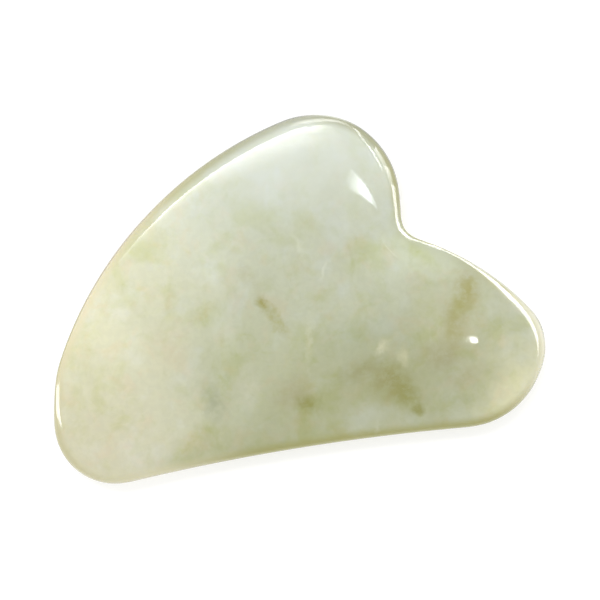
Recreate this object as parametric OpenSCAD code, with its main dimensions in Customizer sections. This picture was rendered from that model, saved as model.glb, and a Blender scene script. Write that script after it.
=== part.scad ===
// Heart-shaped gua sha scraper, cut and polished from one piece of stone.
//
// Its outline is a closed chain of tangent arcs. Six corner arcs give it a heel, a flank, a crown,
// a notch, a tip and a sole, and one long arc joins each corner to the next. Each stretch scrapes
// with a different curve: the hollow side along the jaw, the notch over a finger or the chin.
//
// The edge has one section all round: a small round rim, a wide shallow taper and the flat face
// that is ground on each side.
//
// Millimetres. The stone lies on a flat face with the origin under the centre of its outline box.
// +X runs along the hollow side from heel to tip, +Y towards the crown, and +Z is up.

/* [Stone] */
// Length of the outline box, from heel to tip
length = 82; // [78:1:86]
// Width of the outline box, from the hollow side to the crown
width = 55; // [54:1:60]
// Thickness between the two flat faces
thickness = 6.5; // [5.5:0.5:8]

/* [Edge] */
// Radius of the round rim
rim_r = 2.4; // [1.8:0.1:2.6]
// Width of the tapered border, from the rim's outermost line to the end of the taper
taper_w = 8.5; // [6:0.5:8.5]

/* [Heel and flank] */
// Radius of the heel, in the box's corner
heel_r = 10; // [9.5:0.5:11]
// Radius of the flank, above the heel
flank_r = 12; // [11.5:0.5:13]
// Distance of the flank's centre from the left side of the box
flank_x = 13.3; // [12.9:0.1:13.6]
// Height of the flank's centre above the bottom of the box
flank_y = 15.7; // [15:0.1:16.5]

/* [Crown and notch] */
// Radius of the crown, the rounded top of the stone
crown_r = 14; // [12:0.5:14]
// Distance of the crown's centre from the left side of the box
crown_x = 48.2; // [47:0.2:48.4]
// Radius of the notch between the crown and the tip
notch_r = 3.4; // [2.4:0.2:3.8]
// Distance of the notch's centre from the left side of the box
notch_x = 65.1; // [64.7:0.1:66]
// Height of the notch's centre above the bottom of the box
notch_y = 35.1; // [34:0.1:36]

/* [Tip and sole] */
// Radius of the tip
tip_r = 9.2; // [9:0.1:11]
// Height of the tip's centre above the bottom of the box
tip_y = 12.5; // [12:0.1:13.5]
// Radius of the sole, under the tip
sole_r = 13.8; // [13:0.2:15]

/* [Long curves] */
// Radius of the shoulder, from the tip up to the notch
shoulder_r = 45; // [40:1:60]
// Radius of the crown's straighter side, from the notch up to the crown
nape_r = 40; // [35:1:60]
// Radius of the brow, the long convex curve from the crown to the flank
brow_r = 64; // [60:1:70]
// Radius of the short curve from the flank down to the heel
ankle_r = 50; // [30:1:80]
// Radius of the long hollow side, from the heel to the sole
hollow_r = 370; // [300:5:600]
// Radius of the short curve from the sole to the tip
toe_r = 26; // [20:1:40]

/* [Smoothness] */
// Largest turn between two neighbouring points of the outline, in degrees
turn_step = 6; // [5:1:10]
// Largest distance between two neighbouring points of the outline
chord_step = 2.5; // [2:0.5:6]
// Bands across the round rim, on each side of its outermost line
rim_steps = 5; // [3:1:6]
// Bands across each taper
taper_steps = 4; // [2:1:5]

/* [Hidden] */

// Outline. Corners and curves run counter-clockwise from the tip, each curve after its corner.
// A radius is positive where the outline bulges and negative where it is hollow.
corners = [
  [length - tip_r, tip_y, tip_r],
  [notch_x, notch_y, -notch_r],
  [crown_x, width - crown_r, crown_r],
  [flank_x, flank_y, flank_r],
  [heel_r, heel_r, heel_r],
  [length - sole_r, sole_r, sole_r]
];
curves = [shoulder_r, nape_r, brow_r, ankle_r, -hollow_r, toe_r];
count = len(corners);

function wrap(i) = (i + count) % count;
function corner_centre(i) = [corners[wrap(i)].x, corners[wrap(i)].y];
function corner_radius(i) = corners[wrap(i)].z;

// Centre of the curve from corner i to the next: the curve is tangent to both corner circles, so
// its centre is as far from each corner's centre as their radii differ.
function curve_centre(i) =
  let (
    r = curves[wrap(i)],
    from = corner_centre(i),
    to = corner_centre(i + 1),
    gap = norm(to - from),
    along = (to - from) / gap,
    a = r - corner_radius(i),
    b = r - corner_radius(i + 1),
    s = (a * a - b * b + gap * gap) / (2 * gap),
    h = sign(r) * sqrt(a * a - s * s)
  )
  from + s * along + h * [-along.y, along.x];

// Direction of the outward normal where curve i touches corner k
function touch_angle(i, k) =
  let (v = (curve_centre(i) - corner_centre(k)) / (corner_radius(k) - curves[wrap(i)]))
  atan2(v.y, v.x);

// Turn of the outward normal from angle a to angle b: anticlockwise along a bulge, clockwise
// along a hollow
function sweep(a, b, r) =
  let (turn = sign(r) * (b - a))
  sign(r) * (turn - 360 * floor(turn / 360));

// An arc is [centre, radius, first normal angle, sweep]. Its points are centre + radius * normal.
function arc(centre, r, a, b) = [centre, r, a, sweep(a, b, r)];
arcs = [
  for (i = [0 : count - 1]) each [
    arc(corner_centre(i), corner_radius(i), touch_angle(i - 1, i), touch_angle(i, i)),
    arc(curve_centre(i), curves[i], touch_angle(i, i), touch_angle(i, i + 1))
  ]
];

// Steps that keep one arc within turn_step and chord_step
function arc_steps(arc) =
  let (arc_length = abs(arc[1] * arc[3]) * PI / 180)
  ceil(max(abs(arc[3]) / turn_step, arc_length / chord_step));

// The outline moved inwards by depth, as points at height z
function ring(depth, z) = [
  for (arc = arcs)
    let (steps = arc_steps(arc))
    for (k = [0 : steps - 1])
      let (angle = arc[2] + arc[3] * k / steps, p = arc[0] + (arc[1] - depth) * [cos(angle), sin(angle)])
      [p.x, p.y, z]
];

// Edge section of the blank, before its faces are ground. A small circle makes the rim, and on
// each side a large arc, tangent to it and to the top or the bottom of the blank, makes the taper.
// Tilt is the slope of the surface's normal: 0 degrees at the rim's outermost line, 90 degrees
// on top and -90 degrees underneath.
ground_off = 0.05; // from each side
half = thickness / 2 + ground_off;
taper_r = (pow(taper_w - rim_r, 2) + half * half - rim_r * rim_r) / (2 * (half - rim_r));
join_tilt = atan2(taper_r - half, taper_w - rim_r);

// Depth inside the outline and height above the middle plane, for one tilt
function section(tilt) =
  let (t = abs(tilt))
  t <= join_tilt
    ? [rim_r * (1 - cos(t)), sign(tilt) * rim_r * sin(t)]
    : [taper_w - taper_r * cos(t), sign(tilt) * (half - taper_r * (1 - sin(t)))];

taper_tilt = 90 - join_tilt;
tilts = [
  for (k = [0 : taper_steps - 1]) -90 + taper_tilt * k / taper_steps,
  for (k = [-rim_steps : rim_steps]) join_tilt * k / rim_steps,
  for (k = [1 : taper_steps]) join_tilt + taper_tilt * k / taper_steps
];

// A place from which every point at the inner edge of the taper can be seen
face_middle = [0.56 * length, 0.33 * width];

// Rings of points from the lower side up round the rim to the upper side, and a fan of triangles
// from the middle of each side to the taper
module blank() {
  rings = [for (tilt = tilts) let (p = section(tilt)) ring(p.x, p.y)];
  size = len(rings[0]);
  top = len(rings) - 1;
  lower_middle = len(rings) * size;
  upper_middle = lower_middle + 1;
  points = [
    for (one_ring = rings) each one_ring,
    [face_middle.x, face_middle.y, -half],
    [face_middle.x, face_middle.y, half]
  ];
  skin = [
    for (k = [0 : top - 1], i = [0 : size - 1])
      let (a = k * size + i, b = k * size + (i + 1) % size)
      each [[a, a + size, b + size], [a, b + size, b]]
  ];
  lower_face = [for (i = [0 : size - 1]) [lower_middle, i, (i + 1) % size]];
  upper_face = [for (i = [0 : size - 1]) [upper_middle, top * size + (i + 1) % size, top * size + i]];
  translate([-length / 2, -width / 2, 0])
    polyhedron(points, concat(skin, lower_face, upper_face));
}

// The blank, with a flat face ground on each side
module stone() {
  color([0.80, 0.82, 0.72])
    translate([0, 0, thickness / 2])
      intersection() {
        blank();
        cube([2 * length, 2 * width, thickness], center = true);
      }
}

stone();
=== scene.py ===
import math

import bpy
import numpy as np
from mathutils import Matrix, Vector
from mathutils.geometry import delaunay_2d_cdt


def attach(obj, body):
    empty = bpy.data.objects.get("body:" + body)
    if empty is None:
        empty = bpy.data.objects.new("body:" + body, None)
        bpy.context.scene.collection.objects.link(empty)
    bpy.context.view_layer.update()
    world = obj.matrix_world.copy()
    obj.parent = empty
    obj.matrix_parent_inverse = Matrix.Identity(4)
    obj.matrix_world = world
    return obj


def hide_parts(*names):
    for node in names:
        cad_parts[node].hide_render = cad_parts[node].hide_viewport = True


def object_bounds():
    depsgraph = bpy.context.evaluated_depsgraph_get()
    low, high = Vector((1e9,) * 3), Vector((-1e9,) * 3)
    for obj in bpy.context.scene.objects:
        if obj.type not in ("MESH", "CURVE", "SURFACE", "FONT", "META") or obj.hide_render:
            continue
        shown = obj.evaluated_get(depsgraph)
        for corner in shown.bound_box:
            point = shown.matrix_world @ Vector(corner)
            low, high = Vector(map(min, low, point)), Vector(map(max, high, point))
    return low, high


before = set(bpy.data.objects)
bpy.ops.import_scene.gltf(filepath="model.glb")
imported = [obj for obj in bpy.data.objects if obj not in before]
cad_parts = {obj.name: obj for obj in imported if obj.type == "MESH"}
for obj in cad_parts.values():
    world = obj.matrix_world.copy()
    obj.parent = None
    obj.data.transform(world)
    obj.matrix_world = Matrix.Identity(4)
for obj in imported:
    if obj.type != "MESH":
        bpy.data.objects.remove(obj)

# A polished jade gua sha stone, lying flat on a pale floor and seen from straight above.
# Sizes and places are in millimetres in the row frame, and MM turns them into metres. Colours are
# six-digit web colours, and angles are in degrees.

MM = 0.001
cad_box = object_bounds()
low, high = (corner / MM for corner in cad_box)
middle_z = (low.z + high.z) / 2

# ---- Shape of the stone ----

HUB = complex(10, -9.5)   # every point of the outline can be seen from here
OUTLINE_STEPS = 512       # points round the outline
POLISH = 0.9              # hand polishing rounds off changes of curvature over this length
FACE_DROP = 1.0           # how far each face falls from its middle to the outline
FACE_REACH = 16           # depth at which that fall starts
FACE_POWER = 3.5          # how much of the fall is close to the outline
SIDE_BULGE = 0.12         # how far the side stands out at mid-height
SIDE_STEPS = 3            # rings of points up the side, round the rim and over the border
RIM_STEPS = 12
BORDER_STEPS = 6
BORDER = 4.0              # the skin is rings of points down to this depth, and a net inside it
EXACT_DEPTH = 2.2         # down to here depth is the exact distance to the outline
NET_STEP = 0.6            # spacing of the net
NET_GAP = 0.6 * NET_STEP  # least gap between the net and the innermost ring
SAME = 0.01               # heights closer than this count as the same
MERGE = 1e-6              # points closer than this are merged in the net

# The rim is ground by hand, so its width changes on its way round the stone. Each place is a
# direction from the hub, in degrees, and the width there.
RIM_WIDTHS = [(-170, 1.8), (-120, 1.6), (-40, 1.5), (-20, 2.2), (-5, 2.8), (4, 2.2), (12, 1.4),
              (20, 0.9), (28, 0.6), (40, 0.55), (48, 0.6), (56, 1.5), (62, 2.0), (70, 2.1), (76, 1.7),
              (81, 0.9), (86, 1.2), (92, 2.0), (104, 2.3), (140, 2.2), (152, 1.5), (165, 1.1),
              (180, 0.7)]


def smooth_loop(values, spacing, amount):
    """A closed loop of evenly spaced values, smoothed over the length amount."""
    wave = 2 * math.pi * np.fft.fftfreq(len(values), spacing)
    return np.fft.ifft(np.fft.fft(values) * np.exp(-0.5 * (amount * wave) ** 2))


def cad_outline():
    """The widest ring of the CAD stone, in order round the hub, as complex numbers x + iy."""
    points = np.array([v.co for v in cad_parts["stone"].data.vertices]) / MM
    widest = abs(points[:, 2] - middle_z) < SAME
    ring = np.unique(points[widest, :2].round(4), axis=0) @ [1, 1j]
    return ring[np.argsort(np.angle(ring - HUB))]


def smooth_outline():
    """The outline, its outward normals and its rim width, at evenly spaced points."""
    corners = cad_outline()
    corners = np.append(corners, corners[0])
    along = np.append(0, np.cumsum(abs(np.diff(corners))))
    fine = np.linspace(0, along[-1], OUTLINE_STEPS, endpoint=False)
    outline = smooth_loop(np.interp(fine, along, corners), fine[1], POLISH)
    tangent = np.roll(outline, -1) - np.roll(outline, 1)
    directions, widths = zip(*RIM_WIDTHS)
    width = np.interp(np.degrees(np.angle(outline - HUB)), directions, widths, period=360)
    return outline, -1j * tangent / abs(tangent), smooth_loop(width, fine[1], POLISH).real


def smooth_depth(points, outline):
    """How deep inside the outline each point lies. This equals the distance to a straight side,
    and is less where the outline bends round the point, so lobes are domed."""
    steps = abs(np.roll(outline, -1) - np.roll(outline, 1)) / 2
    return np.array([math.sqrt(2 / np.sum(steps / abs(outline - p) ** 3)) for p in points])


def smooth_step(x, start, end):
    """A smooth rise from 0 at start to 1 at end."""
    t = np.clip((x - start) / (end - start), 0, 1)
    return t * t * (3 - 2 * t)


def face_height(depth):
    """Height of a face above the middle plane."""
    half = (high.z - low.z) / 2
    return half - FACE_DROP * np.clip(1 - depth / FACE_REACH, 0, None) ** FACE_POWER


def rim_rings(width):
    """Depth and height of each ring of points, up the side and round the rim to the face."""
    slope = FACE_DROP * FACE_POWER / FACE_REACH * (1 - width / FACE_REACH) ** (FACE_POWER - 1)
    tilt = np.arctan(slope)
    top = face_height(width)
    radius = (width - SIDE_BULGE) / (1 - np.sin(tilt))
    middle = top - radius * np.cos(tilt)
    side = [(0 * width, middle * step / SIDE_STEPS) for step in range(SIDE_STEPS)]
    turns = [(math.pi / 2 - tilt) * step / RIM_STEPS for step in range(RIM_STEPS + 1)]
    round_rim = [(radius * (1 - np.cos(turn)), middle + radius * np.sin(turn)) for turn in turns]
    return [(depth + SIDE_BULGE * (height / top) ** 2, height) for depth, height in side + round_rim]


def net_inside(outline):
    """A triangular net of points, a little deeper than the border."""
    row_step = NET_STEP * math.sqrt(3) / 2
    x, y = np.meshgrid(np.arange(low.x, high.x, NET_STEP), np.arange(low.y, high.y, row_step))
    x[::2] += NET_STEP / 2
    net = (x + 1j * y).ravel()
    angles = np.angle(outline - HUB)
    reach = np.interp(np.angle(net - HUB), angles, abs(outline - HUB), period=2 * math.pi)
    net = net[abs(net - HUB) < reach]
    return np.array([p for p in net if abs(outline - p).min() > BORDER + NET_GAP])


def upper_half(outline, normals, width):
    """Points from mid-height up over the rim and across the upper face, and their depths."""
    rings = rim_rings(width)
    for step in range(1, BORDER_STEPS + 1):
        rings.append((width + (BORDER - width) * step / BORDER_STEPS, None))
    depth = np.concatenate([ring_depth for ring_depth, height in rings])
    plan = np.tile(outline, len(rings)) - depth * np.tile(normals, len(rings))
    net = net_inside(outline)
    plan = np.concatenate([plan, net])
    depth = np.concatenate([depth, np.full(len(net), BORDER)])
    deep = smooth_step(depth, EXACT_DEPTH, BORDER)
    inside = deep > 0
    depth[inside] += deep[inside] * (smooth_depth(plan[inside], outline) - depth[inside])
    height = face_height(depth)
    rim = np.concatenate([height for ring_depth, height in rings if height is not None])
    height[:len(rim)] = rim
    return np.column_stack([plan.real, plan.imag, height]), depth


def stone_mesh():
    """Both faces and the rim as one closed skin. Each vertex also stores how deep it lies."""
    outline, normals, width = smooth_outline()
    upper, depth = upper_half(outline, normals, width)
    count = len(outline)
    last = SIDE_STEPS + RIM_STEPS + BORDER_STEPS
    loop = [(i, (i + 1) % count) for i in range(count)]
    inner = [Vector(point[:2]) for point in upper[last * count:]]
    only_inside = 1
    triangles = delaunay_2d_cdt(inner, loop, [], only_inside, MERGE)[2]
    faces = [(a * count + i, a * count + j, (a + 1) * count + j, (a + 1) * count + i)
             for a in range(last) for i, j in loop]
    faces += [tuple(last * count + i for i in triangle) for triangle in triangles]

    lower = upper[count:] * [1, 1, -1]

    def below(i):
        """The point under point i. The first ring is at mid-height, and both halves share it."""
        return i if i < count else i + len(upper) - count

    faces += [tuple(below(i) for i in reversed(face)) for face in faces]
    points = np.concatenate([upper, lower]) + [0, 0, middle_z]

    mesh = bpy.data.meshes.new("jade_stone")
    mesh.from_pydata((points * MM).tolist(), [], faces)
    mesh.shade_smooth()
    attribute = mesh.attributes.new("depth_mm", "FLOAT", "POINT")
    attribute.data.foreach_set("value", np.append(depth, depth[count:]).astype(np.float32))
    return mesh


def new_object(name, data):
    thing = bpy.data.objects.new(name, data)
    bpy.context.scene.collection.objects.link(thing)
    return thing


# ---- Node helpers ----

class Nodes:
    """Short ways to add shader nodes to one material or light, and to join them."""

    def __init__(self, owner):
        owner.use_nodes = True
        self.tree = owner.node_tree
        self.tree.nodes.clear()

    def add(self, kind, inputs=None, **settings):
        """A new node. Each of its inputs is given a value or is joined to a socket."""
        node = self.tree.nodes.new("ShaderNode" + kind)
        for name, value in settings.items():
            setattr(node, name, value)
        for name, value in (inputs or {}).items():
            if isinstance(value, bpy.types.NodeSocket):
                self.tree.links.new(value, node.inputs[name])
            else:
                node.inputs[name].default_value = value
        return node

    def math(self, operation, a, b=0.0):
        return self.add("Math", {0: a, 1: b}, operation=operation).outputs[0]

    def vector(self, operation, a, b=(0, 0, 0)):
        node = self.add("VectorMath", {0: a, 1: b}, operation=operation)
        return node.outputs["Value" if operation == "LENGTH" else "Vector"]

    def noise(self, place, size, detail=4.0, roughness=0.5, distortion=0.0):
        """A node of cloud noise from 0 to 1, with main lumps about size millimetres across."""
        inputs = {"Vector": place, "Scale": 1 / size, "Detail": detail, "Roughness": roughness,
                  "Distortion": distortion}
        return self.add("TexNoise", inputs, noise_dimensions="3D")

    def ramp(self, value, start, end, at_start=0.0, at_end=1.0):
        """A smooth change from at_start, where the value is start, to at_end, where it is end."""
        inputs = {"Value": value, "From Min": start, "From Max": end, "To Min": at_start,
                  "To Max": at_end}
        return self.add("MapRange", inputs, interpolation_type="SMOOTHSTEP").outputs["Result"]

    def mix(self, amount, a, b, blend="MIX"):
        """Colour a where the amount is 0, and colour b, or a blended with b, where it is 1."""
        node = self.add("Mix", {"Factor": amount}, data_type="RGBA", blend_type=blend)
        # A colour mix takes its colours at inputs 6 and 7, and gives the result at output 2.
        for socket, value in ((node.inputs[6], a), (node.inputs[7], b)):
            if isinstance(value, bpy.types.NodeSocket):
                self.tree.links.new(value, socket)
            else:
                socket.default_value = (*value, 1)
        return node.outputs[2]


def srgb(code):
    """Linear colour of a six-digit web colour."""
    channels = [int(code[i:i + 2], 16) / 255 for i in (0, 2, 4)]
    return tuple(c / 12.92 if c <= 0.04045 else ((c + 0.055) / 1.055) ** 2.4 for c in channels)


# ---- Jade ----

STONE_COLOUR = "c6cab0"
RIM_COLOUR = "a5a25c"     # olive of the rim, partly the stone's thin edge and partly painted shade, where RIM_LIGHT_AND_SHADE says nothing
RIM_DEPTHS = (2.2, 0.3)   # the rim's colour comes in between these depths
RIM_STRENGTH = 0.9
SIDE_COLOUR = "a6a466"    # olive of the side, painted shade along the outline, where SIDE_LIGHT_AND_SHADE says nothing
SIDE_DEPTHS = (0.5, 0.15)  # and the side's colour between these
DULL = (0.34, 0.1)        # the side loses its polish where its colour's brightness falls like this

# Broad tints: where, how far they reach, colour and strength. They are partly the stone's own colour
# and partly painted light and shade: lighter towards the top and the left, darker towards the bottom
# and the right.
TINTS = [
    ((6, 26, 6), (36, 24, 30), "e4eade", 1.0),
    ((-16, 12, 6), (20, 16, 30), "e3e8d5", 0.7),
    ((-38, 2, 6), (36, 34, 30), "f0eecd", 1.0),
    ((-38, -22, 6), (34, 22, 30), "dad6b7", 0.9),
    ((-5, -13, 6), (22, 18, 30), "b6b990", 0.5),
    ((-8, -27, 6), (22, 12, 30), "a2a46e", 0.7),
    ((12, -10, 6), (13, 9, 30), "a9b090", 0.5),
    ((16, -19, 6), (34, 14, 30), "a7a97c", 0.8),
    ((27, -9, 6), (12, 10, 30), "bcbc8e", 0.5),
    ((25, 3, 6), (17, 9, 30), "d6dcc0", 0.85),
    ((21, 16, 6), (10, 10, 30), "dfe5d2", 0.6),
    ((38, -24, 6), (14, 14, 30), "e8e5bc", 0.9),
]

# The same for the rim. These are painted light and shade: lighter at the lower left and round the
# tip, cream on the left as a painted glow of light through the thin edge, and darker grey along the
# top of the crown
RIM_LIGHT_AND_SHADE = [
    ((-28, -26, 3), (22, 16, 30), "ddd8b4", 1.0),
    ((40, -14, 3), (16, 18, 30), "fbf7dc", 1.0),
    ((8, 30, 3), (36, 20, 30), "a8aa90", 1.0),
    ((28, 4, 3), (22, 12, 30), "ccd2bc", 1.0),
    ((-34, 3, 3), (40, 34, 30), "f4eac8", 1.0),
]

# The same for the side of the stone, below the rim. These are painted light and shade: dark grey and
# brown lines of painted shade and dark reflection along the top of the crown and the upper left, and
# lighter stretches of painted light at the lower left, at the tip and on the crown's top
SIDE_LIGHT_AND_SHADE = [
    ((-30, -20, 3), (26, 24, 30), "d2cbac", 1.0),
    ((34, -4, 3), (18, 26, 30), "d8d8c4", 1.0),
    ((6, 28, 3), (34, 18, 30), "84867a", 1.0),
    ((22, 22, 3), (12, 14, 30), "8a8c80", 0.9),
    ((12, 26.5, 3), (6, 5, 30), "dce0d0", 1.0),
    ((-26, 12, 3), (20, 24, 30), "b0a088", 0.9),
]

# Stains: where, size, turn in degrees, colour and strength
STAINS = [
    ((-3.7, -2.1, 6), (1.8, 3.2, 3), 27, "a09a48", 0.9),
    ((-1.6, -5.6, 6), (1.8, 5.0, 3), 25, "aaa65e", 0.7),
    ((-5.5, 2.5, 6), (2.0, 4.5, 3), 30, "b5b487", 0.5),
    ((0.8, -19.1, 6), (3.4, 2.6, 3), 0, "90903c", 0.9),
    ((-1.5, -17.0, 6), (5.0, 4.0, 4), 30, "a9a078", 0.5),
    ((14.8, -17.5, 5), (7.0, 5.2, 6), -40, "949048", 0.8),
    ((16.8, -20.3, 5), (3.4, 5.2, 6), 10, "949448", 0.8),
    ((9.5, -15.5, 5), (6.0, 3.2, 6), 20, "9c9a68", 0.7),
    ((18.2, -23.1, 6), (1.8, 1.6, 3), 0, "94944c", 0.8),
    ((28.9, -5.3, 5), (3.2, 6.0, 5), -20, "a8a04e", 0.9),
    ((26.5, -10.5, 5), (3.2, 6.0, 5), -20, "a8a060", 0.8),
    ((23.6, -15.0, 5), (6.0, 3.2, 5), 0, "a09868", 0.7),
    ((27.0, -19.0, 5), (5.0, 3.0, 5), 0, "aca376", 0.5),
    ((-21.8, 9.1, 5), (2.8, 2.8, 5), 0, "d6d99c", 0.6),
    ((-20.2, -6.8, 5), (5.5, 6.5, 6), 0, "d5c7a2", 0.35),
    ((-14.3, -16.4, 6), (2.6, 5.4, 6), 10, "a2a686", 0.6),
    ((-10.8, -5.3, 5), (3.4, 9.0, 6), 0, "d6dac4", 0.5),
    ((-8.5, -14.9, 5), (3.0, 4.4, 6), 0, "d5d4bf", 0.6),
    ((10.0, -22.4, 5), (4.4, 2.8, 6), 0, "c3c8b4", 0.7),
    ((2.6, -9.4, 6), (0.9, 6.6, 3), -9, "d8dbc2", 0.6),
    ((3.4, 6.8, 6), (0.7, 3.6, 3), 22, "e0e3d0", 0.5),
    ((6.5, 1.5, 6), (0.6, 3.0, 3), -35, "dfe2d0", 0.6),
    ((-9.0, 16.0, 6), (0.6, 4.0, 3), -60, "e8ead8", 0.3),
    ((11.0, -26.0, 6), (0.7, 3.0, 3), -10, "dcdfca", 0.6),
    ((13.8, -12.0, 6.4), (2.0, 1.2, 2), 35, "d2d2b0", 0.9),
    ((17.3, -14.2, 6.4), (1.5, 2.4, 2), 20, "cdcda6", 0.8),
]

# Clouds in the stone: size of the lumps, the noise values between which a cloud comes in, and
# how it changes the red, the green and the blue
CLOUDS = [
    (7.0, (0.48, 0.70), (-0.09, -0.08, -0.25)),
    (5.0, (0.48, 0.70), (0.04, 0.05, 0.15)),
    (2.6, (0.48, 0.72), (-0.05, -0.04, -0.13)),
    (3.5, (0.50, 0.70), (0.03, -0.02, -0.04)),
    (1.1, (0.35, 0.65), (0.04, 0.04, 0.04)),
]
CLOUD_SHIFT = 50          # each layer of cloud is a stretch of noise this far from the one before
CALM = ((6, 24, 6), (36, 26, 30))   # where the clouds thin out, as a centre and a size
CALM_DENSITY = 0.3

# Warps: size of the lumps, and how far apart they push places
BROAD_WARP = (9, 12)
RAGGED_WARPS = [(4, 3), (1.2, 1.2)]

PATCH = 1.5               # size of the patches that break up a stain
PATCH_NOISE = (0.3, 0.6)  # the noise values between which a stain comes to its full strength
PATCH_LEAST = 0.45        # what is left of a stain between the patches

RIPPLE = 7                # size of the slow ripples that hand polishing leaves
BUMP = 0.02               # their height
MARK = 1.6                # size of the marks on an uneven stretch of the crown's rim
MARK_STRENGTH = 4.0       # how much higher they are than the ripples
MARKED = ((9, 28, 6), (8, 5, 9))    # where they are, as a centre and a size


def tinted(nodes, place, colour, tints):
    """The colour with each of the tints laid softly over it."""
    for centre, size, tint, strength in tints:
        amount = nodes.math("MULTIPLY", stain(nodes, place, centre, size), strength)
        colour = nodes.mix(amount, colour, srgb(tint))
    return colour


def stain(nodes, place, centre, size, turn=0.0):
    """1 at the centre of a soft ellipsoid and 0 outside it. Turn is in degrees about +Z."""
    offset = nodes.vector("SUBTRACT", place, centre)
    inputs = {"Vector": offset, "Axis": (0, 0, 1), "Angle": -math.radians(turn)}
    turned = nodes.add("VectorRotate", inputs, rotation_type="AXIS_ANGLE").outputs["Vector"]
    radius = nodes.vector("LENGTH", nodes.vector("DIVIDE", turned, size))
    return nodes.ramp(radius, 1.0, 0.0)


def warp(nodes, place, size, amount):
    """The place, pushed about by a noise, which makes the edge of whatever uses it ragged."""
    cloud = nodes.noise(place, size, 3, 0.6).outputs["Color"]
    push = nodes.vector("SUBTRACT", cloud, (0.5, 0.5, 0.5))
    return nodes.vector("ADD", place, nodes.vector("MULTIPLY", push, (amount,) * 3))


def clouds(nodes, place):
    """A factor near 1 for each colour channel, from soft clouds within clouds."""
    factor = (1.0, 1.0, 1.0)
    density = nodes.ramp(stain(nodes, place, *CALM), 0.0, 1.0, 1.0, CALM_DENSITY)
    for index, (size, (start, full), change) in enumerate(CLOUDS):
        own_place = nodes.vector("ADD", place, (index * CLOUD_SHIFT, 0, 0))
        cloud = nodes.noise(own_place, size, 4, 0.55, 0.4).outputs[0]
        amount = nodes.math("MULTIPLY", nodes.ramp(cloud, start, full), density)
        amounts = nodes.add("CombineXYZ", {0: amount, 1: amount, 2: amount}).outputs[0]
        factor = nodes.vector("ADD", factor, nodes.vector("MULTIPLY", amounts, change))
    return factor


def body_colour(nodes, place):
    """Tints, clouds and stains of the stone. The broad tints are partly painted light and shade,
    lighter towards the top and the left and darker towards the bottom and the right.
    """
    broad = warp(nodes, place, *BROAD_WARP)
    colour = tinted(nodes, broad, srgb(STONE_COLOUR), TINTS)
    colour = nodes.mix(1.0, colour, clouds(nodes, place), "MULTIPLY")
    ragged = place
    for size, amount in RAGGED_WARPS:
        ragged = warp(nodes, ragged, size, amount)
    patches = nodes.noise(place, PATCH, 4, 0.6).outputs[0]
    patchy = nodes.ramp(patches, *PATCH_NOISE, PATCH_LEAST, 1.0)
    for centre, size, turn, tint, strength in STAINS:
        amount = nodes.math("MULTIPLY", stain(nodes, ragged, centre, size, turn), strength)
        colour = nodes.mix(nodes.math("MULTIPLY", amount, patchy), colour, srgb(tint))
    return colour


def relief(nodes, place):
    """Normals of the polished skin, with its ripples and marks."""
    ripple = nodes.noise(place, RIPPLE, 2, 0.4).outputs[0]
    marks = nodes.noise(place, MARK, 1).outputs[0]
    marks = nodes.math("MULTIPLY", marks, stain(nodes, place, *MARKED))
    height = nodes.math("ADD", ripple, nodes.math("MULTIPLY", marks, MARK_STRENGTH))
    return nodes.add("Bump", {"Height": height, "Distance": BUMP * MM}).outputs[0]


def jade():
    """Stone with a coat of polish. Towards the outline its colour turns to the rim's and the side's,
    which hold painted light and shade. The coat is thin where the side is painted dark.
    """
    material = bpy.data.materials.new("jade")
    nodes = Nodes(material)
    coordinates = nodes.add("TexCoord").outputs["Object"]
    place = nodes.vector("MULTIPLY", coordinates, (1 / MM,) * 3)
    depth = nodes.add("Attribute", attribute_name="depth_mm").outputs["Fac"]
    # Towards the outline the colour turns to the rim's, which holds painted light and shade
    rim = nodes.ramp(depth, *RIM_DEPTHS, 0.0, RIM_STRENGTH)
    rim_colour_and_shade = tinted(nodes, place, srgb(RIM_COLOUR), RIM_LIGHT_AND_SHADE)
    colour = nodes.mix(rim, body_colour(nodes, place), rim_colour_and_shade)
    # The side's colour is painted shade and dark reflection along the outline, with some painted
    # light
    side = nodes.ramp(depth, *SIDE_DEPTHS)
    side_colour_and_shade = tinted(nodes, place, srgb(SIDE_COLOUR), SIDE_LIGHT_AND_SHADE)
    colour = nodes.mix(side, colour, side_colour_and_shade)
    dullness = nodes.ramp(nodes.add("RGBToBW", {0: side_colour_and_shade}).outputs[0], *DULL)
    polish = nodes.math("SUBTRACT", 1.0, nodes.math("MULTIPLY", side, dullness))
    normal = relief(nodes, place)
    surface = nodes.add("BsdfPrincipled", {
        "Base Color": colour, "Roughness": 0.25, "Specular IOR Level": 0.2, "Normal": normal,
        "Coat Weight": polish, "Coat Roughness": 0.03, "Coat IOR": 1.5, "Coat Normal": normal,
        "Subsurface Weight": 0.3, "Subsurface Radius": (1.0, 0.9, 0.6), "Subsurface Scale": 2 * MM,
    })
    nodes.add("OutputMaterial", {"Surface": surface.outputs[0]})
    return material


def make_stone():
    stone = new_object("jade_stone", stone_mesh())
    stone.data.materials.append(jade())
    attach(stone, "root")
    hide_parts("stone")


# ---- Floor, lights and camera ----

FLOOR_SIZE = 6000
FLOOR_TONE = 0.6
FLOOR_GLOW = 0.55         # the floor is a light table, which keeps the shadow faint
WORLD_GLOW = 0.775
WHITE = (1, 1, 1)
DAYLIGHT = (0.86, 0.94, 1)


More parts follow.
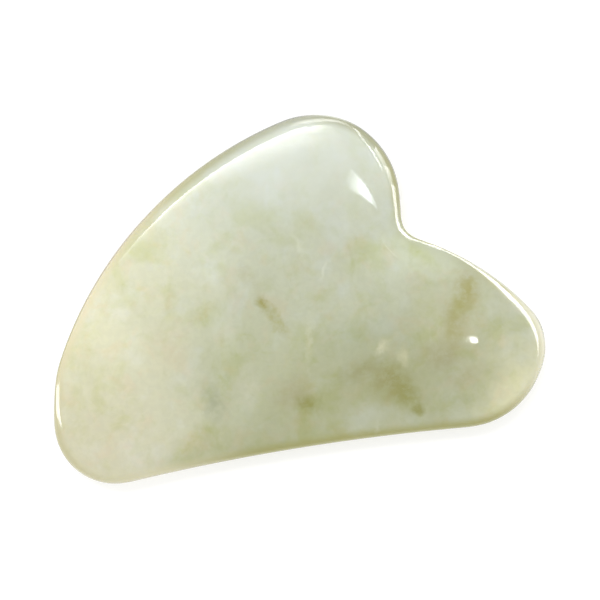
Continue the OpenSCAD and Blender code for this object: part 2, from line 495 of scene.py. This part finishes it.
def make_floor():
    half = FLOOR_SIZE * MM / 2
    mesh = bpy.data.meshes.new("floor")
    corners = [(-half, -half, 0), (half, -half, 0), (half, half, 0), (-half, half, 0)]
    mesh.from_pydata(corners, [], [(0, 1, 2, 3)])
    material = bpy.data.materials.new("floor")
    nodes = Nodes(material)
    surface = nodes.add("BsdfPrincipled", {
        "Base Color": (FLOOR_TONE, FLOOR_TONE, FLOOR_TONE, 1), "Roughness": 1.0,
        "Specular IOR Level": 0.0, "Emission Color": (*WHITE, 1), "Emission Strength": FLOOR_GLOW,
    })
    nodes.add("OutputMaterial", {"Surface": surface.outputs[0]})
    mesh.materials.append(material)
    new_object("floor", mesh)


def direction(azimuth, zenith):
    a, z = math.radians(azimuth), math.radians(zenith)
    return Vector((math.cos(a) * math.sin(z), math.sin(a) * math.sin(z), math.cos(z)))


# Patterns: the strength of a light at each place on it. Along and across run from 0 to 1.

def fading(nodes, along, across):
    """Bright where across is 0 and dark where it is 1, and dimmer near where along is 0."""
    sideways = nodes.math("POWER", nodes.ramp(across, 1.0, 0.0), 2.0)
    return nodes.math("MULTIPLY", sideways, nodes.ramp(along, 0.0, 0.3, 0.2))


def tapering(nodes, along, across):
    """A soft-edged triangle, as wide as the light where along is 0 and a point where it is 1."""
    off_middle = nodes.math("ABSOLUTE", nodes.math("SUBTRACT", across, 0.5))
    half_width = nodes.math("MULTIPLY", nodes.math("SUBTRACT", 1.0, along), 0.5)
    return nodes.ramp(off_middle, half_width, nodes.math("MULTIPLY", half_width, 0.6))


def paint_light(data, pattern):
    nodes = Nodes(data)
    place_on_light = nodes.add("NewGeometry").outputs["Parametric"]
    along, across = nodes.add("SeparateXYZ", {0: place_on_light}).outputs[:2]
    glow = nodes.add("Emission", {"Strength": pattern(nodes, along, across)})
    nodes.add("OutputLight", {0: glow.outputs[0]})


def strip(name, start, end, thickness, radiance, colour=WHITE, shape="RECTANGLE",
          place=(0, 0), reach=None, distance=600, pattern=None, diffuse=False):
    """A light that fills the directions from start to end, each an azimuth and a zenith angle,
    as seen from its place on the stone. Thickness is its angle across. Its radiance is the
    brightness of its reflection. Reach limits how far from its place it shines. Unless it is
    diffuse it shows only as a reflection, and doesn't brighten what it falls on."""
    start, end = direction(*start), direction(*end)
    back = (start + end).normalized()
    along = (end - start).normalized()
    across = 2 * distance * math.tan(math.radians(thickness) / 2)
    data = bpy.data.lights.new(name, "AREA")
    data.shape = shape
    data.size = (distance * (end - start).length + across) * MM
    data.size_y = across * MM
    data.energy = radiance * math.pi * data.size * data.size_y
    data.color = colour
    if reach:
        half = math.atan(reach / distance)
        data.spread = 2 * half
        data.energy *= 1 - half / math.tan(half)
    if pattern:
        paint_light(data, pattern)
    light = new_object(name, data)
    light.location = (Vector((*place, high.z)) + back * distance) * MM
    light.rotation_euler = Matrix((along, back.cross(along), back)).transposed().to_euler()
    light.visible_camera = False
    light.visible_diffuse = diffuse


def make_lights():
    """Each light is named after the highlight that it makes, or what it looks like there."""
    strip("key", (84, 18), (130, 25), 17, 12, pattern=fading, diffuse=True)
    strip("left", (175.5, 82), (180, 38), 8, 10)
    strip("tip", (32, 70), (-12, 66), 62, 12, place=(38.5, -10), reach=19, distance=25,
          pattern=tapering)
    strip("shoulder", (28, 66), (44, 70), 58, 15, place=(30, 0.5), reach=12, distance=20)
    strip("notch", (38, 66), (54, 66), 50, 14, place=(20, 8.5), reach=7, distance=13)
    strip("top", (64, 58), (84, 58), 46, 8, place=(9, 28), reach=10, distance=20)
    strip("line", (22, 29), (47, 33), 9, 11, place=(19, 21), reach=22, distance=60)
    strip("glint", (46, 40), (46, 60), 10, 14, place=(16, 24), reach=8, distance=30)
    strip("window", (40, 10.4), (10, 14.4), 7, 20, DAYLIGHT, place=(14.5, 14.6), reach=9,
          distance=100, pattern=tapering)
    strip("bulb", (-15, 8.8), (-15, 8.9), 0.8, 40, shape="ELLIPSE", place=(29.2, -13.5), reach=15,
          distance=500)


def make_world():
    world = bpy.data.worlds.new("studio")
    world.use_nodes = True
    background = world.node_tree.nodes["Background"]
    background.inputs["Color"].default_value = (*WHITE, 1)
    background.inputs["Strength"].default_value = WORLD_GLOW
    bpy.context.scene.world = world


VIEW_TURN = -9.23         # the picture's right-hand direction, in degrees from +X
VIEW_CENTRE = (2.2, -2.4)
VIEW_WIDTH = 98.8         # what the picture spans at mid-height
LENS, SENSOR = 85, 36


def make_camera():
    data = bpy.data.cameras.new("camera")
    data.lens, data.sensor_width = LENS, SENSOR
    camera = new_object("camera", data)
    height = middle_z + VIEW_WIDTH * LENS / SENSOR
    camera.location = Vector((*VIEW_CENTRE, height)) * MM
    camera.rotation_euler = (0, 0, math.radians(VIEW_TURN))
    data.clip_start, data.clip_end = 0.01, 20
    bpy.context.scene.camera = camera


make_stone()
make_floor()
make_lights()
make_world()
make_camera()
bpy.context.scene.view_settings.view_transform = "Standard"
